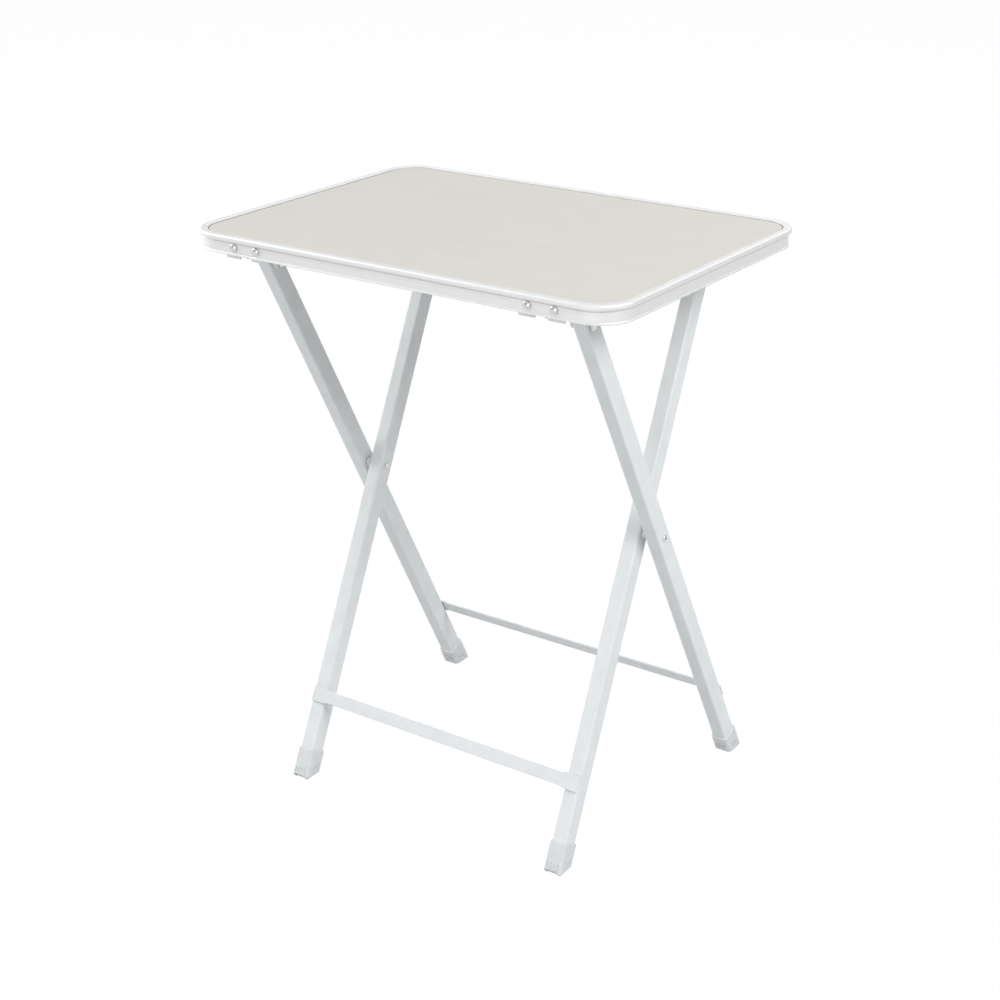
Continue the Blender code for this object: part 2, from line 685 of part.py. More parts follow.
def build_cross_pivot(side, sign, finishes, parent):
    """The rivet through both legs, and the spacer that keeps them apart."""
    outer_face = OUTER_LEG_X + TUBE_WIDTH / 2 + SEAT_GAP
    inner_face = INNER_LEG_X - TUBE_WIDTH / 2 - SEAT_GAP
    profile = rivet_profile(
        PIVOT_SHANK_RADIUS, PIVOT_HEAD_RADIUS, PIVOT_HEAD_HEIGHT,
        PIVOT_TAIL_RADIUS, PIVOT_TAIL_HEIGHT, sign * outer_face, sign * inner_face, sign)
    make_object(f"pivot_rivet_{side}", turned(profile, "x"), finishes["plated"], parent)
    spacer_low = INNER_LEG_X + TUBE_WIDTH / 2 + SEAT_GAP
    spacer_high = spacer_low + LEG_GAP - 2 * SEAT_GAP
    ring = pipe(circle(SPACER_RADIUS), circle(PIVOT_SHANK_RADIUS + SEAT_GAP),
                sign * spacer_low, sign * spacer_high, along_x)
    make_object(f"pivot_spacer_{side}", ring, finishes["nylon"], parent)


def build_hinge_pin(side, sign, finishes, parent):
    """The pin through the outer leg and the bracket's ear, with a washer between them."""
    outer_face = OUTER_LEG_X + TUBE_WIDTH / 2 + SEAT_GAP
    ear_face = HINGE_EAR_OUTER_X - EAR_THICKNESS - SEAT_GAP
    profile = rivet_profile(
        PIN_SHANK_RADIUS, PIN_HEAD_RADIUS, PIN_HEAD_HEIGHT,
        PIN_FOOT_RADIUS, PIN_FOOT_HEIGHT, sign * outer_face, sign * ear_face, sign)
    place = (0.0, 0.0, HINGE_REACH)
    make_object(f"hinge_pin_{side}", turned(profile, "x"), finishes["plated"], parent, place)
    washer_low = HINGE_EAR_OUTER_X + SEAT_GAP
    ring = pipe(circle(WASHER_RADIUS), circle(PIN_SHANK_RADIUS + SEAT_GAP),
                sign * washer_low, sign * (washer_low + WASHER_THICKNESS), along_x)
    make_object(f"hinge_washer_{side}", ring, finishes["nylon"], parent, place)


def build_table_top(finishes, axis):
    """Everything that turns with the top about the front hinge."""
    build_top_panel(finishes["laminate"], axis)
    build_edge_rim(finishes["aluminium"], axis)
    for side, sign in SIDES.items():
        build_hinge_bracket(side, sign, finishes["paint"], axis)
        build_rest_bracket(side, sign, finishes["paint"], axis)
    build_skirt_rivets(finishes["plated"], axis)


def build_outer_frame(finishes, axis):
    """The wider pair of legs, from the back feet up to the front hinge."""
    leg_top = HINGE_REACH + OUTER_LEG_OVERRUN
    for side, sign in SIDES.items():
        x = sign * OUTER_LEG_X
        build_leg(f"outer_leg_{side}", x, OUTER_LEAN, leg_top, (0.0, HINGE_REACH),
                  (PIVOT_SHANK_RADIUS + SEAT_GAP, PIN_SHANK_RADIUS + SEAT_GAP),
                  finishes["paint"], axis)
        build_plug(f"outer_leg_plug_{side}", x, leg_top, finishes["plastic"], axis)
        build_foot(f"outer_foot_{side}", x, OUTER_LEAN, finishes["plastic"], axis)
        build_cross_pivot(side, sign, finishes, axis)
        build_hinge_pin(side, sign, finishes, axis)
    build_bar("outer_cross_bar", OUTER_LEG_X, OUTER_LEAN, OUTER_BAR_RISE, 1,
              finishes["paint"], axis)


def build_inner_frame(finishes, axis):
    """The narrower pair of legs, from the front feet up to the rest rod."""
    leg_top = ROD_REACH + INNER_LEG_OVERRUN
    for side, sign in SIDES.items():
        x = sign * INNER_LEG_X
        build_leg(f"inner_leg_{side}", x, INNER_LEAN, leg_top, (0.0,),
                  (PIVOT_SHANK_RADIUS + SEAT_GAP,), finishes["paint"], axis)
        build_plug(f"inner_leg_plug_{side}", x, leg_top, finishes["plastic"], axis)
        build_foot(f"inner_foot_{side}", x, INNER_LEAN, finishes["plastic"], axis)
    build_rest_rod(finishes["paint"], axis)
    build_bar("inner_cross_bar", INNER_LEG_X, INNER_LEAN, INNER_BAR_RISE, -1,
              finishes["paint"], axis)


def main():
    """Builds the table in its place of use."""
    clear_scene()
    finishes = make_finishes()
    pivot = (0.0, PIVOT_Y, PIVOT_Z)
    top_axis = make_empty("top_hinge_axis", (0.0, HINGE_Y, HINGE_Z))
    outer_axis = make_empty("outer_frame_pivot_axis", pivot, OUTER_LEAN)
    inner_axis = make_empty("inner_frame_pivot_axis", pivot, INNER_LEAN)
    build_table_top(finishes, top_axis)
    build_outer_frame(finishes, outer_axis)
    build_inner_frame(finishes, inner_axis)


main()
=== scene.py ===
"""The look of the folding camping table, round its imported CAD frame.

Lengths are in metres, and +Z is up. Each visible piece stands for one CAD node and
keeps that node's name with _finish added.
"""

import json
import math

import bmesh
import bpy
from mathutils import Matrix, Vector


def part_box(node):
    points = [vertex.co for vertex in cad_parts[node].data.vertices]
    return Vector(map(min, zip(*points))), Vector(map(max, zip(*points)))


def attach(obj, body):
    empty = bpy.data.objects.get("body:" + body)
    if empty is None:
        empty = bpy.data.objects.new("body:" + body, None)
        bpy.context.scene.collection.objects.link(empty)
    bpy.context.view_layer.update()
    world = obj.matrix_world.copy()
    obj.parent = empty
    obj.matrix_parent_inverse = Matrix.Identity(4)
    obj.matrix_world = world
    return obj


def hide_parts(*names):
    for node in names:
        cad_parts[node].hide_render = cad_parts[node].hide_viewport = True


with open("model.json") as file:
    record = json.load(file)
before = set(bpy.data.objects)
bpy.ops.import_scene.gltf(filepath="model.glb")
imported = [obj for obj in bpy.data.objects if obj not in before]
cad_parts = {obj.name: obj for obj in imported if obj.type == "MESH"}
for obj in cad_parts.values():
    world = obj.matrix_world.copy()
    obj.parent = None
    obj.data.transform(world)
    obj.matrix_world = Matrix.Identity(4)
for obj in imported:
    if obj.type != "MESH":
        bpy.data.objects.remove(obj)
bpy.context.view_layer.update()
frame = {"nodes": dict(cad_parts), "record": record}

MM = 0.001

# The top and its edge rim
TOP_LENGTH = 0.530
TOP_DEPTH = 0.380
TABLE_HEIGHT = 0.640
TOP_CORNER_RADIUS = 0.040
BOARD_THICKNESS = 0.003
BOARD_RECESS = 0.001
BOARD_REBATE = 0.0006
BOARD_BITE = 0.006
BOARD_GROOVE = 0.0011
LAMINATE_SKIN = 0.0003
RIM_HEIGHT = 0.020
BEAD_WIDTH = 0.009
BEAD_HEIGHT = 0.0055
BEAD_TOP_ROUND = 0.0024
BEAD_FOOT_ROUND = 0.0012
BEAD_STEP_WIDTH = 0.0026
BEAD_STEP_DROP = 0.0004
BEAD_OVERHANG = 0.0033
CREASE_DEPTH = 0.0005
CREASE_HEIGHT = 0.0022
SKIRT_WALL = 0.0012
SLOT_SHELF = 0.012
SKIRT_LIP_REACH = 0.0009
SKIRT_LIP_HEIGHT = 0.0022
SKIRT_LIP_ROUND = 0.0003
RIM_JOINT = 0.00015
GAP = 0.0003
FACE_EDGE_ROUND = 0.0002

# The leg frames
OUTER_LEG_X = 0.198
INNER_LEG_X = 0.1727
TUBE_WIDTH = 0.0168
TUBE_DEPTH = 0.0208
PIVOT = Vector((0.0, 0.00899, 0.33054))
OUTER_LEAN = math.radians(27.5329)
INNER_LEAN = math.radians(-24.6942)
HINGE = Vector((0.0, -0.132, 0.601))
ROD = Vector((0.0, 0.1317, 0.5974))
ROD_RADIUS = 0.005
ROD_WALL = 0.001
FOOT_WALL = 0.0020
FOOT_TOE_ROUND = 0.0095
COLLAR_GAP = 0.00005
GROOVE_WIDTH = 0.0016
GROOVE_DEPTH = 0.0009
GROOVE_LENGTH = 0.0065
GROOVE_PITCH = 0.0042
GROOVE_RISE = 0.0065
GROOVE_SHOULDER = 0.3 * GROOVE_WIDTH
GROOVES_ON_SIDE = (-1.5, -0.5, 0.5, 1.5)
GROOVES_ON_END = (-1, 0, 1)
TOE_CUT = FOOT_TOE_ROUND / 4
TOE_CUT_SHIFT = 0.1 * MM

# How far edges are rounded
TUBE_EDGE = 0.0002
PLUG_EDGE = 0.0002
BAR_EDGE = 0.0002
BRACKET_EDGE = 0.0003
FOOT_EDGE = 0.0003

# Rivets, pins and washers
RIVET_SHANK = 0.0024
RIVET_HEAD = 0.0044
RIVET_HEAD_HEIGHT = 0.0021
RIVET_TAIL = 0.0036
RIVET_TAIL_HEIGHT = 0.0016
PIN_SHANK = 0.0028
PIN_HEAD = 0.0056
PIN_HEAD_HEIGHT = 0.0022
PIN_FOOT = 0.0038
PIN_FOOT_HEIGHT = 0.0018
PIVOT_HEAD = 0.0036
PIVOT_HEAD_HEIGHT = 0.0018
PIVOT_TAIL = 0.0031
PIVOT_TAIL_HEIGHT = 0.0012
PIVOT_BORE = 0.0013
SPACER_RADIUS = 0.0055
WASHER_RADIUS = 0.0065
RING_CHAMFER = 0.0004
# A head's upright edge and a tail's straight and sloping parts, as shares of their heights,
# and where a hollow rivet's dome begins, as a share of its bore.
HEAD_LAND_SHARE = 1 / 7
TAIL_STRAIGHT_SHARE = 0.6
TAIL_CHAMFER_SHARE = 0.4
ROLLED_EDGE_SHARE = 1.15

# Steps in round forms
CORNER_STEPS = 24
BEAD_STEPS = 8
TURN_STEPS = 40
DOME_STEPS = 7

# Points nearer than MERGE_DISTANCE become one, and faces within FLAT_DEGREES one face.
# Edges past SHARP_EDGE_DEGREES are rounded, and those past a smooth angle shade as sharp.
MERGE_DISTANCE = 0.01 * MM
FLAT_DEGREES = 0.5
SHARP_EDGE_DEGREES = 30
COPY_SMOOTH_DEGREES = 50
DRAWN_SMOOTH_DEGREES = 35
TURNED_SMOOTH_DEGREES = 40

# The camera, fitted to the photograph's 1000 pixel frame
CAMERA_PLACE = (1.12496, -1.57349, 1.13720)
CAMERA_YAW = 0.58846
CAMERA_PITCH = -0.32562
CAMERA_LENS = 68.36
CAMERA_SHIFT = (-0.05529, -0.13372)

# A noise texture's value lies mostly between these
NOISE_LOW = 0.3
NOISE_HIGH = 0.7

# The studio: the floor's and the room's brightness, and soft boxes as place, size and watts
FLOOR_SIZE = 30
FLOOR_PALE = 0.5
FLOOR_ROUGHNESS = 0.9
FLOOR_GLOW_STRENGTH = 1.04
FLOOR_GLOW = 0.93
FLOOR_GLOW_IN_GLOSS = 0.9
WORLD_FILL = 0.455
ROOM_DIM = 0.38
ROOM_BRIGHT = 0.88
ROOM_BRIGHT_ABOVE = 0.6
SOFT_BOX_TARGET = (0.0, 0.0, 0.4)
SOFT_BOXES = {
    "right_soft_box": ((3.6, -0.75, 3.1), 2.1, 124.0),
    "left_soft_box": ((-4.2, -0.9, 2.2), 2.4, 122.0),
    "low_front_fill": ((0.45, -4.5, 0.7), 2.4, 52.0),
    "high_back_fill": ((0.0, 3.9, 3.1), 2.1, 28.0),
}


def linear(code):
    """Turns an sRGB hex colour into a linear one with alpha."""
    values = []
    for start in (1, 3, 5):
        value = int(code[start:start + 2], 16) / 255
        values.append(value / 12.92 if value <= 0.04045 else ((value + 0.055) / 1.055) ** 2.4)
    return (*values, 1.0)


def per_mm(size):
    """Scale of a texture whose features are this many millimetres across."""
    return 1 / (size * MM)


def add_node(tree, kind, inputs=None, **options):
    """Adds a node with its options, and sets or links its inputs."""
    made = tree.nodes.new(kind)
    for option, value in options.items():
        setattr(made, option, value)
    for socket, value in (inputs or {}).items():
        if isinstance(value, bpy.types.NodeSocket):
            tree.links.new(value, made.inputs[socket])
        else:
            made.inputs[socket].default_value = value
    return made


def new_finish(name):
    """Returns a new material's node tree, its surface shader and its object coordinates."""
    finish = bpy.data.materials.new(name)
    finish.use_nodes = True
    tree = finish.node_tree
    place = add_node(tree, "ShaderNodeTexCoord").outputs["Object"]
    return finish, tree, tree.nodes["Principled BSDF"], place


def mottled(tree, place, size, low, high, detail=2.0):
    """A noise of the given size in millimetres, spread between two numbers."""
    noise = add_node(tree, "ShaderNodeTexNoise",
                     {"Vector": place, "Scale": per_mm(size), "Detail": detail})
    return add_node(tree, "ShaderNodeMapRange",
                    {"Value": noise.outputs["Fac"], "From Min": NOISE_LOW, "From Max": NOISE_HIGH,
                     "To Min": low, "To Max": high}).outputs["Result"]


def two_tone(tree, share, first, second):
    """Blends two colours by a share, each a hex code or another node's output."""
    first, second = (linear(tone) if isinstance(tone, str) else tone for tone in (first, second))
    return add_node(tree, "ShaderNodeMix", {0: share, 6: first, 7: second},
                    data_type="RGBA").outputs[2]


def relief(tree, height, depth_mm, strength, below=None):
    """A bump of the given depth, over another one where it is given."""
    inputs = {"Height": height, "Distance": depth_mm * MM, "Strength": strength}
    if below is not None:
        inputs["Normal"] = below
    return add_node(tree, "ShaderNodeBump", inputs).outputs["Normal"]


def set_surface(tree, shader, **sockets):
    """Sets or links the surface shader's sockets, named with underscores for spaces."""
    for key, value in sockets.items():
        socket = shader.inputs[key.replace("_", " ")]
        if isinstance(value, bpy.types.NodeSocket):
            tree.links.new(value, socket)
        else:
            socket.default_value = value


def make_laminate():
    """Melamine laminate pressed on thin board: matte, faintly mottled, with a fine grain."""
    finish, tree, shader, place = new_finish("ivory_melamine_pressed_matte")
    # The cloud of the décor paper is broad and hardly darker than its ground.
    paper = two_tone(tree, mottled(tree, place, 38, 0.0, 1.0, 4.0), "#d4d2cd", "#d8d4cd")
    # Where the edge is thinned, between the two skins of laminate, the brown board shows.
    height = add_node(tree, "ShaderNodeSeparateXYZ", {"Vector": place}).outputs["Z"]
    core = TABLE_HEIGHT - BOARD_RECESS - BOARD_THICKNESS / 2
    bare = add_node(tree, "ShaderNodeMath",
                    {0: height, 1: core, 2: BOARD_THICKNESS / 2 - LAMINATE_SKIN},
                    operation="COMPARE").outputs[0]
    colour = two_tone(tree, bare, paper, "#938b81")
    # The press plate's grain is about 0.4 mm; it is drawn at 1.6 mm, so that it shows.
    grain = mottled(tree, place, 1.6, 0.0, 1.0, 3.0)
    # Wiping leaves long soft marks that change only the sheen.
    stretched = add_node(tree, "ShaderNodeMapping",
                         {"Vector": place, "Rotation": (0.0, 0.0, math.radians(18)),
                          "Scale": (0.12, 1.0, 1.0)}).outputs["Vector"]
    sheen = mottled(tree, stretched, 14, 0.42, 0.50, 5.0)
    set_surface(tree, shader, Base_Color=colour, Roughness=sheen, IOR=1.50,
                Normal=relief(tree, grain, 0.05, 0.25))
    return finish


def make_aluminium():
    """Aluminium extruded and satin anodised: pale, with die lines along its length."""
    finish, tree, shader, place = new_finish("aluminium_extruded_satin_anodised")
    # The rim's own run, inset and height: die lines are long, and 0.5 mm apart.
    run = add_node(tree, "ShaderNodeAttribute", attribute_name="run").outputs["Vector"]
    lines = add_node(tree, "ShaderNodeMapping",
                     {"Vector": run, "Scale": (0.012, 1.0, 1.0)}).outputs["Vector"]
    die = mottled(tree, lines, 0.5, 0.0, 1.0, 2.0)
    colour = two_tone(tree, die, "#dedfdf", "#e5e6e5")
    sheen = mottled(tree, place, 9, 0.58, 0.66, 3.0)
    set_surface(tree, shader, Base_Color=colour, Metallic=1.0, Roughness=sheen,
                Normal=relief(tree, die, 0.02, 0.10))
    return finish


def make_powder_coat():
    """Polyester powder coat on steel: soft sheen, with an orange-peel skin and fine specks."""
    finish, tree, shader, place = new_finish("polyester_powder_coat_pale_grey")
    colour = two_tone(tree, mottled(tree, place, 24, 0.0, 1.0, 3.0), "#dbdfe1", "#e1e5e7")
    # Orange peel is 1 to 2 mm across; it is drawn at 2.2 mm, so that it shows.
    peel = mottled(tree, place, 2.2, 0.0, 1.0, 1.0)
    speck = mottled(tree, place, 0.6, 0.0, 1.0, 0.0)
    skin = relief(tree, speck, 0.02, 0.15, relief(tree, peel, 0.08, 0.25))
    set_surface(tree, shader, Base_Color=colour, Roughness=mottled(tree, place, 5, 0.36, 0.46),
                IOR=1.50, Coat_Weight=0.10, Coat_Roughness=0.25, Normal=skin)
    return finish


def make_polypropylene():
    """Polypropylene moulded in a spark-eroded tool: waxy and matte, with a fine even grain."""
    finish, tree, shader, place = new_finish("polypropylene_moulded_light_grey")
    colour = two_tone(tree, mottled(tree, place, 7, 0.0, 1.0, 3.0), "#d2d5d7", "#d8dbdd")
    # The tool's grain is about 0.2 mm; it is drawn at 0.8 mm, so that it shows.
    grain = mottled(tree, place, 0.8, 0.0, 1.0, 1.0)
    set_surface(tree, shader, Base_Color=colour, Roughness=mottled(tree, place, 3, 0.48, 0.60),
                IOR=1.49, Subsurface_Weight=0.04, Subsurface_Radius=(0.004, 0.004, 0.004),
                Normal=relief(tree, grain, 0.05, 0.30))
    return finish


def make_zinc():
    """Steel rivets, cold headed and zinc plated: bright, with a faint cloudy passivation."""
    finish, tree, shader, place = new_finish("steel_cold_headed_zinc_plated")
    colour = two_tone(tree, mottled(tree, place, 2.5, 0.0, 1.0, 3.0), "#c9cbcc", "#dcdddb")
    set_surface(tree, shader, Base_Color=colour, Metallic=1.0,
                Roughness=mottled(tree, place, 1.2, 0.12, 0.24),
                Normal=relief(tree, mottled(tree, place, 1.0, 0.0, 1.0), 0.02, 0.10))
    return finish


def make_nylon():
    """Nylon moulded as small rings: milky, with a silky sheen and turned-looking flow lines."""
    finish, tree, shader, place = new_finish("nylon_moulded_white")
    colour = two_tone(tree, mottled(tree, place, 3, 0.0, 1.0, 2.0), "#d8d8d5", "#e2e2df")
    set_surface(tree, shader, Base_Color=colour, Roughness=mottled(tree, place, 2, 0.34, 0.46),
                IOR=1.53, Subsurface_Weight=0.03, Subsurface_Radius=(0.001, 0.001, 0.001),
                Normal=relief(tree, mottled(tree, place, 0.7, 0.0, 1.0), 0.03, 0.20))
    return finish


FINISHES = {
    "laminate": make_laminate(),
    "aluminium": make_aluminium(),
    "paint": make_powder_coat(),
    "plastic": make_polypropylene(),
    "plated": make_zinc(),
    "nylon": make_nylon(),
}
BODY_OF = {}
for body_name, members in frame["record"]["behaviour"]["bodies"].items():
    for member in members:
        BODY_OF[member] = body_name


def work_on(piece):
    """Makes one piece the only selected one."""
    bpy.ops.object.select_all(action="DESELECT")
    piece.select_set(True)
    bpy.context.view_layer.objects.active = piece


def apply_place():
    """Puts the active piece's place and turn into its mesh."""
    bpy.ops.object.transform_apply(location=True, rotation=True, scale=True)


def choose(piece, kind, test):
    """In edit mode, selects the faces, edges or vertices that pass a test."""
    bpy.ops.mesh.select_mode(type=kind)
    bpy.ops.mesh.select_all(action="DESELECT")
    mesh = bmesh.from_edit_mesh(piece.data)
    items = {"FACE": mesh.faces, "EDGE": mesh.edges, "VERT": mesh.verts}[kind]
    for item in items:
        if test(item):
            item.select_set(True)
    bmesh.update_edit_mesh(piece.data)


def shade_rounds(piece, smooth_degrees=COPY_SMOOTH_DEGREES):
    """Shades a piece's rounds smooth and keeps its flat faces flat."""
    work_on(piece)
    bpy.ops.object.shade_smooth_by_angle(angle=math.radians(smooth_degrees))
    weigh = piece.modifiers.new("flat_faces_first", "WEIGHTED_NORMAL")
    weigh.keep_sharp = True
    bpy.ops.object.modifier_apply(modifier=weigh.name)


def close_up(piece, smooth_degrees=DRAWN_SMOOTH_DEGREES):
    """Merges what meets, turns the faces outward and shades the rounds smooth."""
    bpy.ops.mesh.select_mode(type="VERT")
    bpy.ops.mesh.select_all(action="SELECT")
    bpy.ops.mesh.remove_doubles(threshold=MERGE_DISTANCE)
    bpy.ops.mesh.normals_make_consistent(inside=False)
    bpy.ops.object.mode_set(mode="OBJECT")
    shade_rounds(piece, smooth_degrees)


def stand_for(piece, node, slot):
    """Gives a piece its finish and lets it stand for its CAD node."""
    piece.data.materials.clear()
    piece.data.materials.append(FINISHES[slot])
    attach(piece, BODY_OF[node])
    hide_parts(node)


def draw_line(name, points, closed=False):
    """Draws a chain of edges by extruding one vertex from point to point."""
    bpy.ops.object.select_all(action="DESELECT")
    bpy.ops.mesh.primitive_plane_add(size=MM, location=points[0])
    piece = bpy.context.object
    piece.name = name
    piece.data.name = name
    apply_place()
    bpy.ops.object.mode_set(mode="EDIT")
    bpy.ops.mesh.select_all(action="SELECT")
    bpy.ops.mesh.merge(type="CENTER")
    for start, end in zip(points, points[1:]):
        step = tuple(Vector(end) - Vector(start))
        bpy.ops.mesh.extrude_vertices_move(TRANSFORM_OT_translate={"value": step})
    if closed:
        choose(piece, "VERT", lambda vertex: len(vertex.link_edges) == 1)
        bpy.ops.mesh.edge_face_add()
    bpy.ops.mesh.select_mode(type="VERT")
    bpy.ops.mesh.select_all(action="SELECT")
    return piece


def arc(centre, radius, start, end, steps):
    """Points along an arc in a plane, from one angle to another."""
    points = []
    for index in range(steps + 1):
        angle = start + (end - start) * index / steps
        points.append((centre[0] + radius * math.cos(angle), centre[1] + radius * math.sin(angle)))
    return points


def rim_section():
    """The rim's section as (inset from the edge, depth below the top)."""
    slot_end = BEAD_WIDTH - BOARD_BITE - GAP
    slot_roof = BOARD_RECESS + BOARD_REBATE - GAP
    slot_floor = BOARD_RECESS + BOARD_THICKNESS + GAP
    skirt_back = BEAD_OVERHANG + SKIRT_WALL
    lip_face = BEAD_OVERHANG - SKIRT_LIP_REACH
    step_end = BEAD_WIDTH - BEAD_STEP_WIDTH
    points = [(BEAD_WIDTH, BEAD_STEP_DROP + SKIRT_LIP_ROUND)]
    points += [(BEAD_WIDTH - SKIRT_LIP_ROUND, BEAD_STEP_DROP)]
    points += [(step_end, BEAD_STEP_DROP), (step_end - BEAD_STEP_DROP, 0.0)]
    points += arc((BEAD_TOP_ROUND, BEAD_TOP_ROUND), BEAD_TOP_ROUND,
                  -math.pi / 2, -math.pi, BEAD_STEPS)
    points += arc((BEAD_FOOT_ROUND, BEAD_HEIGHT - BEAD_FOOT_ROUND), BEAD_FOOT_ROUND,
                  math.pi, math.pi / 2, BEAD_STEPS // 2)
    points += [
        (BEAD_OVERHANG + CREASE_DEPTH, BEAD_HEIGHT),
        (BEAD_OVERHANG + CREASE_DEPTH, BEAD_HEIGHT + CREASE_HEIGHT - CREASE_DEPTH),
        (BEAD_OVERHANG, BEAD_HEIGHT + CREASE_HEIGHT),
        (BEAD_OVERHANG, RIM_HEIGHT - SKIRT_LIP_HEIGHT),
        (lip_face, RIM_HEIGHT - SKIRT_LIP_HEIGHT + SKIRT_LIP_REACH),
        (lip_face, RIM_HEIGHT - SKIRT_LIP_ROUND),
        (lip_face + SKIRT_LIP_ROUND, RIM_HEIGHT),
        (skirt_back - SKIRT_LIP_ROUND, RIM_HEIGHT),
        (skirt_back, RIM_HEIGHT - SKIRT_LIP_ROUND),
        (skirt_back, slot_floor + SKIRT_WALL),
        (SLOT_SHELF, slot_floor + SKIRT_WALL),
        (SLOT_SHELF, slot_floor),
        (slot_end, slot_floor),
        (slot_end, slot_roof),
        (BEAD_WIDTH, slot_roof),
    ]
    return points


def write_run(piece):
    """Stores how far along the rim, how far in and how high each point lies."""
    straight_x = TOP_LENGTH / 2 - TOP_CORNER_RADIUS
    straight_y = TOP_DEPTH / 2 - TOP_CORNER_RADIUS
    run = piece.data.attributes.new("run", "FLOAT_VECTOR", "POINT")
    quarter = TOP_CORNER_RADIUS * math.pi / 2
    for index, vertex in enumerate(piece.data.vertices):
        x, y, z = vertex.co
        centre_x = max(-straight_x, min(straight_x, x))
        centre_y = max(-straight_y, min(straight_y, y))
        if abs(x) > straight_x and abs(y) > straight_y:
            turn = math.atan2(abs(y) - straight_y, abs(x) - straight_x)
            along = straight_y + TOP_CORNER_RADIUS * turn
            inset = math.hypot(x - centre_x, y - centre_y)
        elif abs(x) > straight_x:
            along = abs(y)
            inset = abs(x - centre_x)
        else:
            along = straight_y + quarter + straight_x - abs(x)
            inset = abs(y) - straight_y
        run.data[index].vector = (along, TOP_CORNER_RADIUS - inset, z)


def make_rim():
    """The rim's section, drawn once and carried round the top by extrusions and spins."""
    back = TOP_DEPTH / 2
    section = [(RIM_JOINT / 2, back - inset, TABLE_HEIGHT - depth)
               for inset, depth in rim_section()]
    piece = draw_line("edge_rim_finish", section, closed=True)
    corner_x = TOP_LENGTH / 2 - TOP_CORNER_RADIUS
    corner_y = TOP_DEPTH / 2 - TOP_CORNER_RADIUS
    legs = [
        ((corner_x - RIM_JOINT / 2, 0.0, 0.0), (corner_x, corner_y)),
        ((0.0, -2 * corner_y, 0.0), (corner_x, -corner_y)),
        ((-2 * corner_x, 0.0, 0.0), (-corner_x, -corner_y)),
        ((0.0, 2 * corner_y, 0.0), (-corner_x, corner_y)),
        ((corner_x - RIM_JOINT / 2, 0.0, 0.0), None),
    ]
    for run, corner in legs:
        bpy.ops.mesh.extrude_region_move(TRANSFORM_OT_translate={"value": run})
        if corner is not None:
            bpy.ops.mesh.spin(steps=CORNER_STEPS, angle=math.pi / 2,
                              center=(*corner, TABLE_HEIGHT), axis=(0.0, 0.0, 1.0))
    choose(piece, "EDGE", lambda edge: edge.is_boundary)
    bpy.ops.mesh.fill_holes(sides=0)
    close_up(piece)
    write_run(piece)
    stand_for(piece, "edge_rim", "aluminium")


def make_board():
    """The board: a plate with round corners, its edge thinned to enter the rim."""
    bpy.ops.object.select_all(action="DESELECT")
    reach = BEAD_WIDTH - BOARD_BITE
    face_edge = BEAD_WIDTH + BOARD_GROOVE
    top = TABLE_HEIGHT - BOARD_RECESS
    bpy.ops.mesh.primitive_plane_add(size=1, location=(0.0, 0.0, top - BOARD_THICKNESS))
    piece = bpy.context.object
    piece.name = "top_panel_finish"
    piece.scale = (TOP_LENGTH - 2 * reach, TOP_DEPTH - 2 * reach, 1.0)
    apply_place()
    bpy.ops.object.mode_set(mode="EDIT")
    bpy.ops.mesh.select_all(action="SELECT")
    bpy.ops.mesh.bevel(offset=TOP_CORNER_RADIUS - reach, segments=CORNER_STEPS, affect="VERTICES")
    bpy.ops.mesh.select_all(action="SELECT")
    rise = (0.0, 0.0, BOARD_THICKNESS - BOARD_REBATE)
    bpy.ops.mesh.extrude_region_move(TRANSFORM_OT_translate={"value": rise})
    bpy.ops.mesh.inset(thickness=face_edge - reach, depth=0.0)
    rise = (0.0, 0.0, BOARD_REBATE)
    bpy.ops.mesh.extrude_region_move(TRANSFORM_OT_translate={"value": rise})
    choose(piece, "EDGE", lambda edge: all(v.co.z > top - MM / 10 for v in edge.verts))
    bpy.ops.mesh.bevel(offset=FACE_EDGE_ROUND, segments=2)
    close_up(piece)
    stand_for(piece, "top_panel", "laminate")


def turned_piece(name, node, slot, outline, centre, axis, side):
    """Spins an outline of (radius, distance) about an axis through a centre."""
    centre, axis, side = Vector(centre), Vector(axis), Vector(side)
    closed = outline[0][0] > 0
    points = [tuple(centre + axis * distance + side * radius) for radius, distance in outline]
    piece = draw_line(name, points, closed)
    bpy.ops.mesh.spin(steps=TURN_STEPS, angle=2 * math.pi, center=tuple(centre), axis=tuple(axis))
    close_up(piece, TURNED_SMOOTH_DEGREES)
    stand_for(piece, node, slot)


def rivet_outline(shank, head, head_height, tail, tail_height, grip, hollow=0.0):
    """A domed head beyond 0, a shank of the length gripped, and a formed tail behind it."""
    land = head_height * HEAD_LAND_SHARE
    dome = [(head * math.sin(angle), land + (head_height - land) * math.cos(angle))
            for angle in (math.pi / 2 * step / DOME_STEPS for step in range(DOME_STEPS + 1))]
    outline = [(0.0, head_height)]
    first = 1
    if hollow:
        # The end of a hollow rivet is rolled outward round its bore.
        outline = [(0.0, 0.0), (hollow, 0.0)]
        while dome[first][0] < hollow * ROLLED_EDGE_SHARE:
            first += 1
        outline.append((hollow, dome[first][1]))
    outline += dome[first:]
    outline += [(head, 0.0), (shank, 0.0), (shank, -grip), (tail, -grip)]
    outline += [(tail, -grip - tail_height * TAIL_STRAIGHT_SHARE),
                (tail - tail_height * TAIL_CHAMFER_SHARE, -grip - tail_height)]
    return outline + [(0.0, -grip - tail_height)]


def ring_outline(outer, bore, low, high):
    """A ring's section, with its outer corners eased."""
    return [
        (bore, low), (outer - RING_CHAMFER, low), (outer, low + RING_CHAMFER),
        (outer, high - RING_CHAMFER), (outer - RING_CHAMFER, high), (bore, high),
    ]


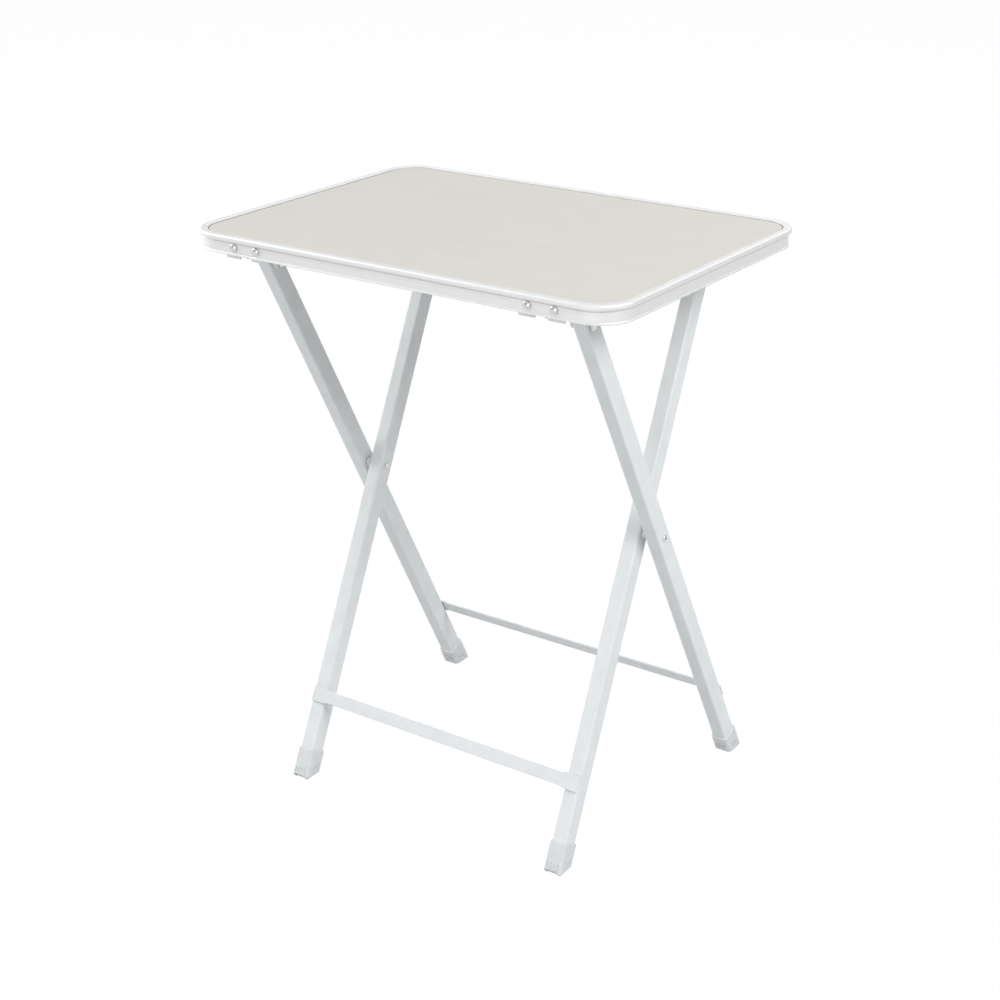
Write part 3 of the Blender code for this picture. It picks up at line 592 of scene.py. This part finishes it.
def make_skirt_rivets():
    """The rivets through the skirt, each standing where its CAD node is."""
    for node in BODY_OF:
        if not (node.startswith("hinge_rivet") or node.startswith("rest_rivet")):
            continue
        low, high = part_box(node)
        front = 1 if low.y > 0 else -1
        face = front * (TOP_DEPTH / 2 - BEAD_OVERHANG + GAP)
        grip = high.y - low.y - RIVET_HEAD_HEIGHT - RIVET_TAIL_HEIGHT
        outline = rivet_outline(RIVET_SHANK, RIVET_HEAD, RIVET_HEAD_HEIGHT,
                                RIVET_TAIL, RIVET_TAIL_HEIGHT, grip)
        centre = ((low.x + high.x) / 2, face, (low.z + high.z) / 2)
        turned_piece(f"{node}_finish", node, "plated", outline, centre,
                     (0.0, front, 0.0), (1.0, 0.0, 0.0))


def make_leg_rivets():
    """The cross pivots and hinge pins, with the nylon rings on them."""
    outer_face = OUTER_LEG_X + TUBE_WIDTH / 2 + GAP
    for side, sign in (("left", -1), ("right", 1)):
        kinds = (
            ("pivot_rivet", PIVOT, (RIVET_SHANK, PIVOT_HEAD, PIVOT_HEAD_HEIGHT,
                                    PIVOT_TAIL, PIVOT_TAIL_HEIGHT), PIVOT_BORE),
            ("hinge_pin", HINGE, (PIN_SHANK, PIN_HEAD, PIN_HEAD_HEIGHT,
                                  PIN_FOOT, PIN_FOOT_HEIGHT), 0.0),
        )
        for kind, middle, sizes, hollow in kinds:
            node = f"{kind}_{side}"
            low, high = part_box(node)
            grip = high.x - low.x - sizes[2] - sizes[4]
            centre = (sign * outer_face, middle.y, middle.z)
            turned_piece(f"{node}_finish", node, "plated", rivet_outline(*sizes, grip, hollow),
                         centre, (sign, 0.0, 0.0), (0.0, 1.0, 0.0))
        rings = (
            ("pivot_spacer", PIVOT, SPACER_RADIUS, RIVET_SHANK + GAP),
            ("hinge_washer", HINGE, WASHER_RADIUS, PIN_SHANK + GAP),
        )
        for kind, middle, outer, bore in rings:
            node = f"{kind}_{side}"
            low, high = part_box(node)
            outline = ring_outline(outer, bore, low.x, high.x)
            turned_piece(f"{node}_finish", node, "nylon", outline, (0.0, middle.y, middle.z),
                         (1.0, 0.0, 0.0), (0.0, 1.0, 0.0))


def make_rest_rod():
    """The tube that carries the back of the top."""
    low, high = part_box("rest_rod")
    bore = ROD_RADIUS - ROD_WALL
    outline = [(bore, low.x), (ROD_RADIUS, low.x), (ROD_RADIUS, high.x), (bore, high.x)]
    turned_piece("rest_rod_finish", "rest_rod", "paint", outline, ROD,
                 (1.0, 0.0, 0.0), (0.0, 1.0, 0.0))


def merged_copy(node):
    """Copies a CAD solid and joins its loose triangles into whole faces, left in edit mode."""
    source = frame["nodes"][node]
    piece = source.copy()
    piece.data = source.data.copy()
    piece.name = f"{node}_finish"
    piece.parent = None
    for key in [key for key in piece.keys() if key.startswith("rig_")]:
        del piece[key]
    bpy.context.scene.collection.objects.link(piece)
    work_on(piece)
    bpy.ops.object.mode_set(mode="EDIT")
    bpy.ops.mesh.select_mode(type="VERT")
    bpy.ops.mesh.select_all(action="SELECT")
    bpy.ops.mesh.remove_doubles(threshold=MERGE_DISTANCE)
    bpy.ops.mesh.dissolve_limited(angle_limit=math.radians(FLAT_DEGREES))
    return piece


def ease_edges(piece, edge_round, steps=2):
    """In edit mode, rounds a piece's sharp edges, and leaves edit mode."""
    limit = math.radians(SHARP_EDGE_DEGREES)
    choose(piece, "EDGE", lambda edge: len(edge.link_faces) == 2
           and edge.calc_face_angle(0.0) > limit)
    bpy.ops.mesh.bevel(offset=edge_round, segments=steps, clamp_overlap=True)
    bpy.ops.object.mode_set(mode="OBJECT")


def eased_copy(node, slot, edge_round, steps=2):
    """Stands in for a CAD solid with a copy whose sharp edges are rounded."""
    piece = merged_copy(node)
    ease_edges(piece, edge_round, steps)
    shade_rounds(piece)
    stand_for(piece, node, slot)


def make_foot(node):
    """A moulded cap whose collar hugs the tube, with short grip grooves round its lower end."""
    outer = node.startswith("outer")
    lean = OUTER_LEAN if outer else INNER_LEAN
    leg_x = (OUTER_LEG_X if outer else INNER_LEG_X) * (1 if node.endswith("right") else -1)
    across = Vector((0.0, math.cos(lean), math.sin(lean)))
    along = Vector((0.0, -math.sin(lean), math.cos(lean)))
    middle = Vector((leg_x, PIVOT.y, PIVOT.z))

    def in_leg(point):
        """Returns a point as (across the front, through the leg, up the leg)."""
        step = point - middle
        return step.x, step.dot(across), step.dot(along)

    piece = merged_copy(node)
    rim = max(in_leg(vertex.co)[2] for vertex in piece.data.vertices)

    def on_collar(vertex):
        """Tells whether a vertex lies on the inner edge of the collar's rim."""
        u, v, up = in_leg(vertex.co)
        return (up > rim - MERGE_DISTANCE and abs(u) < TUBE_WIDTH / 2 + 2 * GAP
                and abs(v) < TUBE_DEPTH / 2 + 2 * GAP)

    # The moulded cap is pressed on, so its collar's lip touches the tube.
    choose(piece, "VERT", on_collar)
    hug = [(half + COLLAR_GAP) / (half + GAP) for half in (TUBE_WIDTH / 2, TUBE_DEPTH / 2)]
    bpy.ops.transform.resize(value=(*hug, 1.0), orient_type="GLOBAL",
                             orient_matrix=((1.0, 0.0, 0.0), tuple(across), tuple(along)),
                             orient_matrix_type="GLOBAL", center_override=tuple(middle))

    # The toe's corners are cut back as far as its round, so that its edge is straight.
    half_x = TUBE_WIDTH / 2 + FOOT_WALL
    half_y = TUBE_DEPTH / 2 + FOOT_WALL
    toe = math.copysign(half_y, lean)
    tip = Vector((leg_x, middle.y + (toe + middle.z * math.sin(lean)) / math.cos(lean), 0.0))
    back = Vector((0.0, -math.copysign(1.0, lean), 0.0))
    cut_place = tip + (along + back) * TOE_CUT
    cut_way = (along - back).cross(Vector((1.0, 0.0, 0.0))).normalized()
    if cut_way.z > 0:
        cut_way = -cut_way
    bpy.ops.mesh.select_all(action="SELECT")
    bpy.ops.mesh.bisect(plane_co=tuple(cut_place + cut_way * TOE_CUT_SHIFT),
                        plane_no=tuple(cut_way),
                        use_fill=True, clear_outer=True)
    ease_edges(piece, FOOT_EDGE)

    places = []
    for side in (-1, 1):
        for step in GROOVES_ON_SIDE:
            places.append((step * GROOVE_PITCH, side * half_y))
        for step in GROOVES_ON_END:
            places.append((side * half_x, step * GROOVE_PITCH))
    sole = -middle.z / math.cos(lean)
    cutters = []
    for u, v in places:
        # The sole rises or falls along the leg as the face stands further out.
        foot = sole - v * math.tan(lean)
        centre = middle + across * v + along * (foot + GROOVE_RISE + GROOVE_LENGTH / 2)
        centre.x += u
        bpy.ops.object.select_all(action="DESELECT")
        bpy.ops.mesh.primitive_cube_add(size=1, location=centre, rotation=(lean, 0.0, 0.0))
        cutter = bpy.context.object
        deep = 2 * GROOVE_DEPTH
        sideways = abs(u) == half_x
        cutter.scale = (deep if sideways else GROOVE_WIDTH, GROOVE_WIDTH if sideways else deep,
                        GROOVE_LENGTH)
        apply_place()
        bpy.ops.object.mode_set(mode="EDIT")
        bpy.ops.mesh.select_all(action="SELECT")
        bpy.ops.mesh.bevel(offset=GROOVE_SHOULDER, segments=3)
        bpy.ops.object.mode_set(mode="OBJECT")
        cutters.append(cutter)
    bpy.ops.object.select_all(action="DESELECT")
    for cutter in cutters:
        cutter.select_set(True)
    bpy.context.view_layer.objects.active = cutters[0]
    bpy.ops.object.join()
    work_on(piece)
    cut = piece.modifiers.new("grip_grooves", "BOOLEAN")
    cut.operation = "DIFFERENCE"
    cut.solver = "EXACT"
    cut.object = cutters[0]
    bpy.ops.object.modifier_apply(modifier=cut.name)
    bpy.data.objects.remove(cutters[0])
    shade_rounds(piece)
    stand_for(piece, node, "plastic")


def make_legs_and_fittings():
    """The tubes, plugs, feet, bars and brackets, with their pressed and moulded edges eased."""
    for node in BODY_OF:
        if "_leg_plug_" in node:
            eased_copy(node, "plastic", PLUG_EDGE)
        elif "_leg_" in node:
            eased_copy(node, "paint", TUBE_EDGE)
        elif "_foot_" in node:
            make_foot(node)
        elif "bracket" in node:
            eased_copy(node, "paint", BRACKET_EDGE, 3)
        elif "cross_bar" in node:
            eased_copy(node, "paint", BAR_EDGE)


def make_stage():
    """A white floor that keeps a faint shadow, and a white surround."""
    bpy.ops.object.select_all(action="DESELECT")
    bpy.ops.mesh.primitive_plane_add(size=FLOOR_SIZE, location=(0.0, 0.0, 0.0))
    floor = bpy.context.object
    floor.name = "studio_floor"
    finish = bpy.data.materials.new("studio_paper_white")
    finish.use_nodes = True
    tree = finish.node_tree
    shader = tree.nodes["Principled BSDF"]
    set_surface(tree, shader, Base_Color=(FLOOR_PALE, FLOOR_PALE, FLOOR_PALE, 1.0),
                Roughness=FLOOR_ROUGHNESS)
    glow = add_node(tree, "ShaderNodeEmission",
                    {"Color": (1.0, 1.0, 1.0, 1.0), "Strength": FLOOR_GLOW_STRENGTH})
    rays = add_node(tree, "ShaderNodeLightPath").outputs
    off_gloss = add_node(tree, "ShaderNodeMath",
                         {0: rays["Is Glossy Ray"], 1: FLOOR_GLOW_IN_GLOSS},
                         operation="MULTIPLY").outputs[0]
    share = add_node(tree, "ShaderNodeMix",
                     {0: rays["Is Camera Ray"], 2: off_gloss, 3: FLOOR_GLOW})
    mix = add_node(tree, "ShaderNodeMixShader",
                   {0: share.outputs[0], 1: shader.outputs[0], 2: glow.outputs[0]})
    tree.links.new(mix.outputs[0], tree.nodes["Material Output"].inputs["Surface"])
    floor.data.materials.append(finish)

    world = bpy.data.worlds.new("studio_surround")
    bpy.context.scene.world = world
    world.use_nodes = True
    tree = world.node_tree
    rays = add_node(tree, "ShaderNodeLightPath").outputs
    way = add_node(tree, "ShaderNodeTexCoord").outputs["Generated"]
    climb = add_node(tree, "ShaderNodeSeparateXYZ", {"Vector": way}).outputs["Z"]
    # Gloss shows a room that is dimmer along the horizon than overhead.
    room = add_node(tree, "ShaderNodeMapRange",
                    {"Value": climb, "From Max": ROOM_BRIGHT_ABOVE, "To Min": ROOM_DIM,
                     "To Max": ROOM_BRIGHT},
                    interpolation_type="SMOOTHSTEP").outputs["Result"]
    mirrored = add_node(tree, "ShaderNodeMix", {0: rays["Is Glossy Ray"], 2: WORLD_FILL, 3: room})
    strength = add_node(tree, "ShaderNodeMix",
                        {0: rays["Is Camera Ray"], 2: mirrored.outputs[0], 3: 1.0})
    surround = tree.nodes["Background"]
    surround.inputs["Color"].default_value = (1.0, 1.0, 1.0, 1.0)
    tree.links.new(strength.outputs[0], surround.inputs["Strength"])


def make_lamp(name, place, size, power):
    """A square soft box that looks at the table."""
    lamp = bpy.data.lights.new(name, "AREA")
    lamp.size = size
    lamp.energy = power
    holder = bpy.data.objects.new(name, lamp)
    bpy.context.scene.collection.objects.link(holder)
    holder.location = place
    way = Vector(SOFT_BOX_TARGET) - Vector(place)
    holder.rotation_euler = way.to_track_quat("-Z", "Y").to_euler()


def make_studio():
    """Soft boxes, the camera and the plain view transform."""
    for name, (place, size, power) in SOFT_BOXES.items():
        make_lamp(name, place, size, power)
    camera = bpy.data.cameras.new("photo_camera")
    camera.lens = CAMERA_LENS
    camera.shift_x, camera.shift_y = CAMERA_SHIFT
    holder = bpy.data.objects.new("photo_camera", camera)
    bpy.context.scene.collection.objects.link(holder)
    holder.location = CAMERA_PLACE
    holder.rotation_euler = (math.pi / 2 + CAMERA_PITCH, 0.0, CAMERA_YAW)
    bpy.context.scene.camera = holder
    bpy.context.scene.view_settings.view_transform = "Standard"


make_board()
make_rim()
make_skirt_rivets()
make_leg_rivets()
make_rest_rod()
make_legs_and_fittings()
make_stage()
make_studio()
